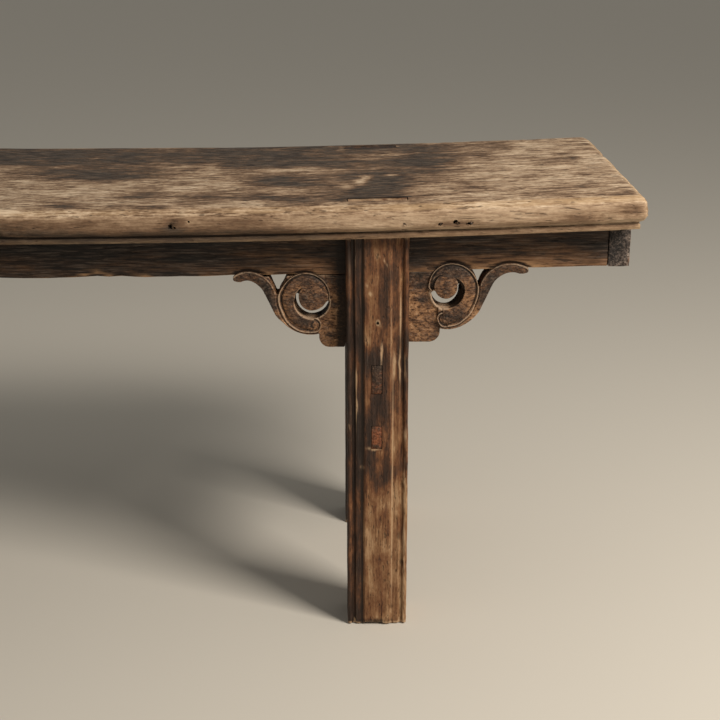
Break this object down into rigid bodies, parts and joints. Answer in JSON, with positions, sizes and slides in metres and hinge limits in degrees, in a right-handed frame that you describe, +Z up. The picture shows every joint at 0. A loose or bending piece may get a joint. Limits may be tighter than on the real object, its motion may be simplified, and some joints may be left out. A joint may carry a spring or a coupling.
{
  "type": "carved bench",
  "caption": "Long wooden bench with a sagged plank seat, recessed moulded legs slotted over aprons, carved scroll spandrels and side stretchers.",
  "frame": {"origin": "on the floor under the middle of the bench", "axes": "+X along the bench to the right seen from the front, +Y to the rear, +Z up"},
  "size_m": [1.4018, 0.388, 0.5094],
  "materials": {
    "seat": "worn dry elm, pale tan with remains of dark lacquer",
    "leg": "worn reddish brown lacquer",
    "apron": "dark brown lacquer",
    "end_apron": "dark brown lacquer with grey end grain",
    "spandrel": "worn brown lacquer with dark carved lines",
    "stretcher": "dark brown lacquer with orange end grain"
  },
  "bodies": {
    "root": {"top_plank": "seat", "leg_front_left": "leg", "leg_front_right": "leg", "leg_rear_left": "leg", "leg_rear_right": "leg", "apron_front": "apron", "apron_rear": "apron", "end_apron_left": "end_apron", "end_apron_right": "end_apron", "spandrel_front_left_inner": "spandrel", "spandrel_front_left_outer": "spandrel", "spandrel_front_right_inner": "spandrel", "spandrel_front_right_outer": "spandrel", "spandrel_rear_left_inner": "spandrel", "spandrel_rear_left_outer": "spandrel", "spandrel_rear_right_inner": "spandrel", "spandrel_rear_right_outer": "spandrel", "stretcher_left_upper": "stretcher", "stretcher_left_lower": "stretcher", "stretcher_right_upper": "stretcher", "stretcher_right_lower": "stretcher"}
  },
  "joints": []
}
